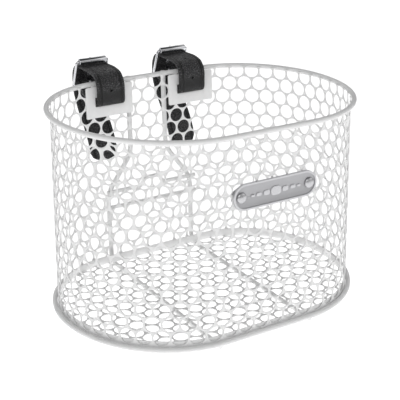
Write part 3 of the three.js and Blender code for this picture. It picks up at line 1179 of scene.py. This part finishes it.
@dataclass
class BuckleStrap:
    """A leather strap looped through its bracket, with a roller buckle riveted to its end."""

    finishes: Finishes
    side: Side
    back_y: float = 98.7  # the rim wire's middle at the back, in the frame
    strap_x: float = 52.5
    width: float = 33.6
    thickness: float = 3.0
    hinge: Flat = (55.0, 210.7)
    roller_at: Flat = (35.0, 241.0)
    heel_at: Flat = (47.5, 211.8)
    frame_radius: float = 1.9
    frame_clear: float = 34.0
    frame_corner: float = 3.0
    roller_radius: float = 3.75
    tongue_radius: float = 1.4
    rivet_at: Flat = (32.0, 207.5)
    rivet_lean: float = 11.0
    adjusting_holes: tuple[Flat, ...] = ((3.5, 234.4), (-8.0, 216.3))

    @property
    def x(self) -> float:
        """The strap's middle, in mm."""
        return self.side.value * self.strap_x

    def place(self, x: float, flat: Flat) -> Vector:
        """Puts a place drawn as (behind the rim, height) into the frame.

        Args:
            x: Distance from the strap's middle, in mm.
            flat: Behind the rim and height, in mm.

        Returns:
            The place in metres.
        """
        return Vector((self.x + x, self.back_y + flat[0], flat[1])) * MM

    def around_heel(self, degrees: float) -> Flat:
        """A place of the fold round the heel bar."""
        reach = self.frame_radius + 0.3 + self.thickness / 2
        a = math.radians(degrees)
        return (self.heel_at[0] + reach * math.cos(a), self.heel_at[1] + reach * math.sin(a))

    def loop_route(self) -> list[Flat]:
        """The strap's way: fold, under the bar, through the slot, over the bar, down past the heel."""
        fold = [(27, 208), (33, 209.6), (39.5, 212), *(self.around_heel(a) for a in (115, 60, 0, -60, -105))]
        under = [(40, 206.9), (33, 205.7), (27, 204.2), (12, 201.0), (0, 199.7), (-6.6, 199.7), (-9.9, 203.4)]
        face = [(-10.2, 211.2), (-10.4, 217.5), (-9.6, 223.3), (-6.9, 228.3), (-2.3, 232.2), (4.8, 234.1)]
        over = [(14, 235.2), (24, 235.1), (35, 235.2), (43, 234.9), (49.3, 231.6), (53.6, 224.8)]
        return fold + under + face + over + [(55, 217.5), (55, 212.3)]

    def tail_route(self) -> list[Flat]:
        """The free end, hanging from the hinge forwards under the basket's back."""
        return [
            (55, 212.3), (55, 208.5), (53.3, 201.3), (49, 192.5), (43, 182.5), (36, 173.1),
            (29, 164.2), (23, 154.8), (18, 144.4), (15, 133.4), (13.8, 127.1),
        ]  # fmt: skip

    def strip(self, name: str, route: Sequence[Flat], steps: int, pointed: bool = False) -> bpy.types.Object:
        """Lays a strip of leather along a route.

        Args:
            name: The piece's name.
            route: The way of its middle.
            steps: Rows of faces along it.
            pointed: Whether its far end is cut to a blunt point.

        Returns:
            The strip with its thickness, its edges rounded, and a UV map across and along it.
        """
        deselect()
        across = 12
        bpy.ops.mesh.primitive_grid_add(x_subdivisions=across, y_subdivisions=steps, size=1)
        piece = named(name)
        line = spaced(route, steps)
        length = sum(math.dist(a, b) for a, b in zip(line, line[1:]))
        for vertex in piece.data.vertices:
            u, row = vertex.co.x, (vertex.co.y + 0.5) * steps
            if pointed:
                nose = 14.0
                from_end = length * (1 - row / steps)
                end_row = steps * (1 - nose / length)
                if from_end < nose:
                    back = nose * (1 - math.sqrt(max(0.0, 1 - (2 * abs(u)) ** 2.2))) * 0.75
                    row = end_row + (row - end_row) * (1 - back / nose)
            i = min(int(row), steps - 1)
            t = row - i
            flat = tuple(a + (b - a) * t for a, b in zip(line[i], line[i + 1]))
            vertex.co = self.place(u * self.width, flat)
        edit(piece)
        bpy.ops.mesh.normals_make_consistent(inside=False)
        deselect()
        modify(piece, "SOLIDIFY", thickness=self.thickness * MM, offset=0, use_even_offset=True)
        modify(piece, "BEVEL", width=0.55 * MM, segments=2, limit_method="ANGLE", angle_limit=math.radians(60))
        return piece

    def punch(self, piece: bpy.types.Object, at: Flat, radius: float, lean: float, sides: int = 24) -> None:
        """Punches a round hole through the strap.

        Args:
            piece: The strap.
            at: The hole's middle, behind the rim and height.
            radius: Its radius in mm.
            lean: The hole's direction from the horizontal, in degrees.
            sides: Faces round the hole.
        """
        deselect()
        bpy.ops.mesh.primitive_cylinder_add(
            vertices=sides,
            radius=radius * MM,
            depth=9 * MM,
            location=self.place(0, at),
            rotation=(math.radians(90 + lean), 0, 0),
        )
        cutter = named("Punch")
        modify(piece, "BOOLEAN", operation="DIFFERENCE", object=cutter, solver="EXACT")
        bpy.data.objects.remove(cutter)

    def slit(self, piece: bpy.types.Object, at: Flat, wide: float, deep: float, tall: float) -> None:
        """Cuts a long opening for the tongue, in the fold round the heel bar."""
        deselect()
        bpy.ops.mesh.primitive_cube_add(size=MM, location=self.place(0, at))
        cutter = named("Slit")
        edit(cutter)
        bpy.ops.transform.resize(value=(wide, deep, tall), center_override=tuple(self.place(0, at)))
        deselect()
        modify(piece, "BOOLEAN", operation="DIFFERENCE", object=cutter, solver="EXACT")
        bpy.data.objects.remove(cutter)

    def straps(self) -> None:
        """Makes the loop and the free end."""
        hand = self.side.hand
        loop = self.strip(f"Strap_loop_{hand}", self.loop_route(), 132)
        self.slit(loop, (46.7, 210.8), 5.0, 12.5, 14.4)
        self.slit(loop, (44.4, 235.0), 4.8, 8.4, 8.8)
        for at, lean in zip(self.adjusting_holes, (78, 6)):
            self.punch(loop, at, 1.5, lean)
        self.punch(loop, self.rivet_at, 1.9, 90 - self.rivet_lean)
        smooth(loop, 45)
        give(loop, self.finishes.leather, "basket", [f"strap_loop_{hand}"])
        tail = self.strip(f"Strap_tail_{hand}", self.tail_route(), 52, pointed=True)
        for at, lean in zip(((49.9, 194.3), (39.6, 178.0)), (-28, -36)):
            self.punch(tail, at, 1.5, lean)
        smooth(tail, 45)
        give(tail, self.finishes.leather, "", [f"strap_tail_{hand}"])
        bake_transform(tail)

    def frame(self) -> bpy.types.Object:
        """Bends the buckle's rectangular frame with rounded corners."""
        up = Vector((self.roller_at[0] - self.heel_at[0], self.roller_at[1] - self.heel_at[1]))
        tall, up = up.length, up.normalized()
        half = self.frame_clear / 2 + self.frame_radius
        corner = self.frame_corner
        route = []
        for quarter, (sx, sy) in enumerate(((1, 1), (-1, 1), (-1, -1), (1, -1))):
            for k in range(9):
                a = math.radians(90 * quarter + 90 * k / 8)
                x = sx * (half - corner) + corner * math.cos(a)
                y = (tall if sy > 0 else 0) - sy * corner + corner * math.sin(a)
                route.append(self.place(x, (self.heel_at[0] + up.x * y, self.heel_at[1] + up.y * y)))
        return wire(f"Buckle_frame_{self.side.hand}", route, self.frame_radius, closed=True)

    def roller(self) -> bpy.types.Object:
        """Turns the tube that rolls on the upper bar."""
        half, bore, r = self.frame_clear / 2 - 0.4, self.frame_radius + 0.3, self.roller_radius
        profile = [
            (bore, -half), (r - 0.5, -half), (r - 0.15, -half + 0.15), (r, -half + 0.5), (r, half - 0.5),
            (r - 0.15, half - 0.15), (r - 0.5, half), (bore, half), (bore, -half),
        ]  # fmt: skip
        turn = Matrix.Translation(self.place(0, self.roller_at)) @ Matrix.Rotation(math.pi / 2, 4, "Y")
        return turned(f"Roller_{self.side.hand}", profile, turn)

    def tongue(self) -> bpy.types.Object:
        """Bends the tongue: a curl round the heel bar and a shank whose tip lies on the roller."""
        up = Vector((self.roller_at[0] - self.heel_at[0], self.roller_at[1] - self.heel_at[1])).normalized()
        out = Vector((up.y, -up.x))
        curl = self.frame_radius + 0.3 + self.tongue_radius
        leave = math.atan2(out.y, out.x)
        route = []
        for k in range(25):
            a = leave - math.radians(260) * (1 - k / 24)
            route.append(self.place(0, (self.heel_at[0] + curl * math.cos(a), self.heel_at[1] + curl * math.sin(a))))
        rest = Vector(self.roller_at) + out * (self.roller_radius + self.tongue_radius + 0.3) + up * 0.6
        route.append(self.place(0, (rest.x, rest.y)))
        return wire(f"Tongue_{self.side.hand}", route, self.tongue_radius)

    def rivet(self) -> bpy.types.Object:
        """Turns the rivet that holds the fold, domed above and flat below."""
        grip = self.thickness + 0.75
        profile = [
            (0, -grip - 1), (3.3, -grip - 1), (3.6, -grip - 0.7), (3.6, -grip), (1.5, -grip), (1.5, grip),
            (4, grip), (3.85, grip + 0.5), (3.2, grip + 1.1), (2.0, grip + 1.65), (1, grip + 1.85), (0, grip + 1.9),
        ]  # fmt: skip
        lean = Matrix.Rotation(math.radians(self.rivet_lean), 4, "X")
        return turned(f"Strap_rivet_{self.side.hand}", profile, Matrix.Translation(self.place(0, self.rivet_at)) @ lean)

    def build(self) -> None:
        """Makes the strap with its buckle."""
        hand = self.side.hand
        self.straps()
        chrome, nickel = self.finishes.chrome, self.finishes.nickel
        give(self.frame(), chrome, "basket", [f"buckle_frame_{hand}"])
        give(self.roller(), chrome, f"roller_{hand}", [f"buckle_roller_{hand}"])
        give(self.tongue(), chrome, f"tongue_{hand}", [f"buckle_tongue_{hand}"])
        give(self.rivet(), nickel, "basket", [f"strap_rivet_{hand}"])


# ---- Badge ----


@dataclass
class Badge:
    """The die-cast badge on the front, with plain ornament in its field."""

    plan: OvalPlan
    finishes: Finishes
    middle_x: float = 4.9
    middle_z: float = 160.3
    length: float = 98.0
    height: float = 27.0
    thick: float = 2.6
    rim: float = 2.0
    recess: float = 0.9
    rivet_spacing: float = 80.0
    wire_radius: float = 2.8

    @property
    def upright(self) -> Matrix:
        """Stands a badge drawn flat in X and Y on the front of the wall."""
        back = self.plan.grown(Vector((0, self.plan.front_y, 0)), self.middle_z)
        place = Vector((self.middle_x * MM, back.y + self.wire_radius * MM, self.middle_z * MM))
        return Matrix.Translation(place) @ Matrix.Rotation(math.pi / 2, 4, "X")

    def slab(self, name: str, size: Flat, low: float, thick: float, round_by: float, x: float = 0) -> bpy.types.Object:
        """Models a slab with round ends, flat in X and Y.

        Args:
            name: The piece's name.
            size: Length and height in mm.
            low: The height of its back, in mm.
            thick: Its thickness in mm.
            round_by: Radius of its corners in mm.
            x: Its middle along the badge, in mm.

        Returns:
            The slab, its front still flat.
        """
        deselect()
        bpy.ops.mesh.primitive_plane_add(size=MM, location=(0, 0, 0))
        piece = named(name)
        edit(piece)
        bpy.ops.transform.resize(value=(size[0], size[1], 1), center_override=(0, 0, 0))
        bpy.ops.mesh.bevel(offset=round_by * MM, segments=14, affect="VERTICES", clamp_overlap=False)
        bpy.ops.mesh.select_all(action="SELECT")
        bpy.ops.mesh.remove_doubles(threshold=1e-5)
        bpy.ops.transform.translate(value=(x * MM, 0, low * MM))
        bpy.ops.mesh.extrude_region_move(TRANSFORM_OT_translate={"value": (0, 0, thick * MM)})
        bpy.ops.mesh.select_all(action="SELECT")
        bpy.ops.mesh.normals_make_consistent(inside=False)
        deselect()
        return piece

    def plate(self) -> bpy.types.Object:
        """Casts the plate: a raised border round a sunken, sanded field."""
        piece = self.slab("Badge", (self.length, self.height), 0, self.thick, self.height / 2 - 0.02)
        edit(piece)
        choose(piece, "FACE", lambda c: c.z > (self.thick - 0.05) * MM)
        bpy.ops.mesh.inset(thickness=self.rim * MM, use_even_offset=True)
        bpy.ops.mesh.extrude_region_move(TRANSFORM_OT_translate={"value": (0, 0, -self.recess * MM)})
        deselect()
        modify(piece, "BEVEL", width=0.35 * MM, segments=2, limit_method="ANGLE", angle_limit=math.radians(50))
        piece.data.materials.append(self.finishes.nickel)
        piece.data.materials.append(self.finishes.field_nickel)
        field_z = (self.thick - self.recess) * MM
        for polygon in piece.data.polygons:
            if abs(polygon.center.z - field_z) < 0.02 * MM and polygon.normal.z > 0.9:
                polygon.material_index = 1
        piece.data.transform(self.upright)
        smooth(piece)
        return piece

    def ornament(self) -> bpy.types.Object:
        """Models plain raised bars and lozenges in place of lettering, as one piece."""
        base = self.thick - self.recess - 0.1
        parts = []
        for i, (x, long, high) in enumerate(
            ((0, 12, 9), (-11, 7, 5), (11, 7, 5), (-20, 6, 3.6), (20, 6, 3.6), (-27, 4, 2.4), (27, 4, 2.4))
        ):
            part = self.slab(f"Lozenge_{i}", (long, high), base, 0.75, high * 0.42, x)
            edit(part)
            choose(part, "FACE", lambda c: c.z > (base + 0.7) * MM)
            bpy.ops.mesh.inset(thickness=0.25 * high * MM, depth=0.15 * MM)
            parts.append(part)
            deselect()
        for part in parts:
            part.select_set(True)
        bpy.context.view_layer.objects.active = parts[0]
        bpy.ops.object.join()
        piece = named("Badge_ornament")
        piece.data.transform(self.upright)
        smooth(piece)
        return piece

    def rivets(self) -> None:
        """Turns the two domed rivets and the washers behind the sheet."""
        head = self.thick - self.recess + 0.3
        rivet = [(0, -3.9), (3.4, -3.9), (3.4, -2.9), (2, -2.9), (2, head), (5.4, head)]
        rivet += [
            (5.4 * math.cos(math.radians(a)), head + 0.35 + 2.25 * math.sin(math.radians(a)))
            for a in (0, 12, 24, 36, 48, 60, 72, 82)
        ]
        rivet.append((0, head + 2.6))
        washer = [(2.3, -1.9), (9.2, -1.9), (9.2, -3.1), (2.3, -3.1), (2.3, -1.9)]
        for side in Side:
            shift = Matrix.Translation((side.value * self.rivet_spacing / 2 * MM, 0, 0))
            place = self.upright @ shift
            for word, profile in (("rivet", rivet), ("washer", washer)):
                piece = turned(f"Badge_{word}.{side.hand}", profile, place)
                give(piece, self.finishes.nickel, "basket", [f"badge_{word}_{side.hand}"])

    def build(self) -> None:
        """Makes the badge with its rivets."""
        give(self.plate(), self.finishes.nickel, "basket", ["badge_plate"])
        give(self.ornament(), self.finishes.nickel, "basket")
        self.rivets()


# ---- Studio ----


@dataclass
class Studio:
    """Pale floor, soft light and the camera."""

    target: Vector = field(default_factory=lambda: Vector((0, -0.02685, 0.11592)))
    towards_camera: Vector = field(default_factory=lambda: Vector((-0.48414, -0.79879, 0.35713)))
    distance: float = 1.0760
    lens: float = 89.3
    shift: Flat = (-0.01445, -0.01068)
    roll: float = 0.0107

    def camera(self) -> None:
        """Sets the camera."""
        data = bpy.data.cameras.new("Camera")
        data.lens = self.lens
        data.sensor_width = 36
        data.shift_x, data.shift_y = self.shift
        data.clip_start = 0.01
        camera = bpy.data.objects.new("Camera", data)
        bpy.context.scene.collection.objects.link(camera)
        camera.location = self.target + self.towards_camera.normalized() * self.distance
        look = (-self.towards_camera).to_track_quat("-Z", "Y")
        camera.rotation_mode = "QUATERNION"
        camera.rotation_quaternion = look @ Quaternion((0, 0, 1), -self.roll)
        bpy.context.scene.camera = camera

    def floor(self) -> None:
        """Lays the backdrop paper."""
        deselect()
        bpy.ops.mesh.primitive_plane_add(size=9, location=(0, 0, 0))
        paper = named("Studio_floor")
        edit(paper)
        bpy.ops.mesh.subdivide(number_cuts=3)
        bpy.ops.transform.translate(value=(0, 0, -0.0003))
        deselect()
        paper.data.materials.append(StudioPaper().material())

    def softbox(self, name: str, place: Vector, size: float, watts: float) -> None:
        """Hangs a square softbox that faces the basket."""
        data = bpy.data.lights.new(name, "AREA")
        data.shape = "SQUARE"
        data.size = size
        data.energy = watts
        light = bpy.data.objects.new(name, data)
        bpy.context.scene.collection.objects.link(light)
        light.location = place
        light.rotation_euler = (place - self.target).to_track_quat("Z", "Y").to_euler()

    def sky(self) -> None:
        """Surrounds the set with white for the eye, and a bright band between dark ones for the metal."""
        world = bpy.data.worlds.new("Studio_dome")
        bpy.context.scene.world = world
        world.use_nodes = True
        tree = world.node_tree
        tree.nodes.clear()
        way = add_node(tree, "ShaderNodeTexCoord").outputs["Generated"]
        height = add_node(tree, "ShaderNodeSeparateXYZ", None, Vector=way).outputs["Z"]
        rise = add_node(
            tree, "ShaderNodeMapRange", None, Value=height, From_Min=0.1, From_Max=0.3, To_Min=0.02, To_Max=1.0
        ).outputs[0]
        crown = add_node(
            tree, "ShaderNodeMapRange", None, Value=height, From_Min=0.6, From_Max=0.82, To_Min=1.0, To_Max=0.08
        ).outputs[0]
        dome = add_node(tree, "ShaderNodeMath", {"operation": "MULTIPLY"}, in0=rise, in1=crown).outputs[0]
        soft = add_node(tree, "ShaderNodeBackground", None, Color=dome, Strength=0.7)
        white = add_node(tree, "ShaderNodeBackground", None, Color=(1, 1, 1, 1), Strength=1.0)
        seen = add_node(tree, "ShaderNodeLightPath").outputs["Is Camera Ray"]
        both = add_node(tree, "ShaderNodeMixShader", None, in0=seen, in1=soft.outputs[0], in2=white.outputs[0])
        add_node(tree, "ShaderNodeOutputWorld", None, Surface=both.outputs[0])

    def build(self) -> None:
        """Sets up the whole studio."""
        self.camera()
        self.floor()
        self.softbox("Key", Vector((-0.9, -0.9, 1.25)), 0.9, 4.0)
        self.softbox("Fill", Vector((1.3, -0.9, 0.8)), 1.1, 1.8)
        self.softbox("Back", Vector((0.3, 1.3, 1.1)), 1.0, 1.5)
        self.sky()
        view = bpy.context.scene.view_settings
        view.view_transform = "Standard"
        view.look = "None"


def corners(bounds: Iterable[Iterable[float]]) -> list[list[float]]:
    """Turns a box into plain lists of numbers."""
    return [[float(v) for v in corner] for corner in bounds]


def main() -> None:
    """Builds the basket round its frame."""
    logging.basicConfig(level=logging.INFO, format="%(name)s %(message)s")
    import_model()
    finishes = Finishes()
    plan = OvalPlan()
    log.info("way round the wall: %.1f mm", plan.around)
    PerforatedBin(plan, finishes).build()
    WireFrame(plan, finishes).build()
    BracketPlates(plan, finishes).build()
    for side in Side:
        BuckleStrap(finishes, side).build()
    Badge(plan, finishes).build()
    Studio().build()


if __name__ == "__main__":
    main()
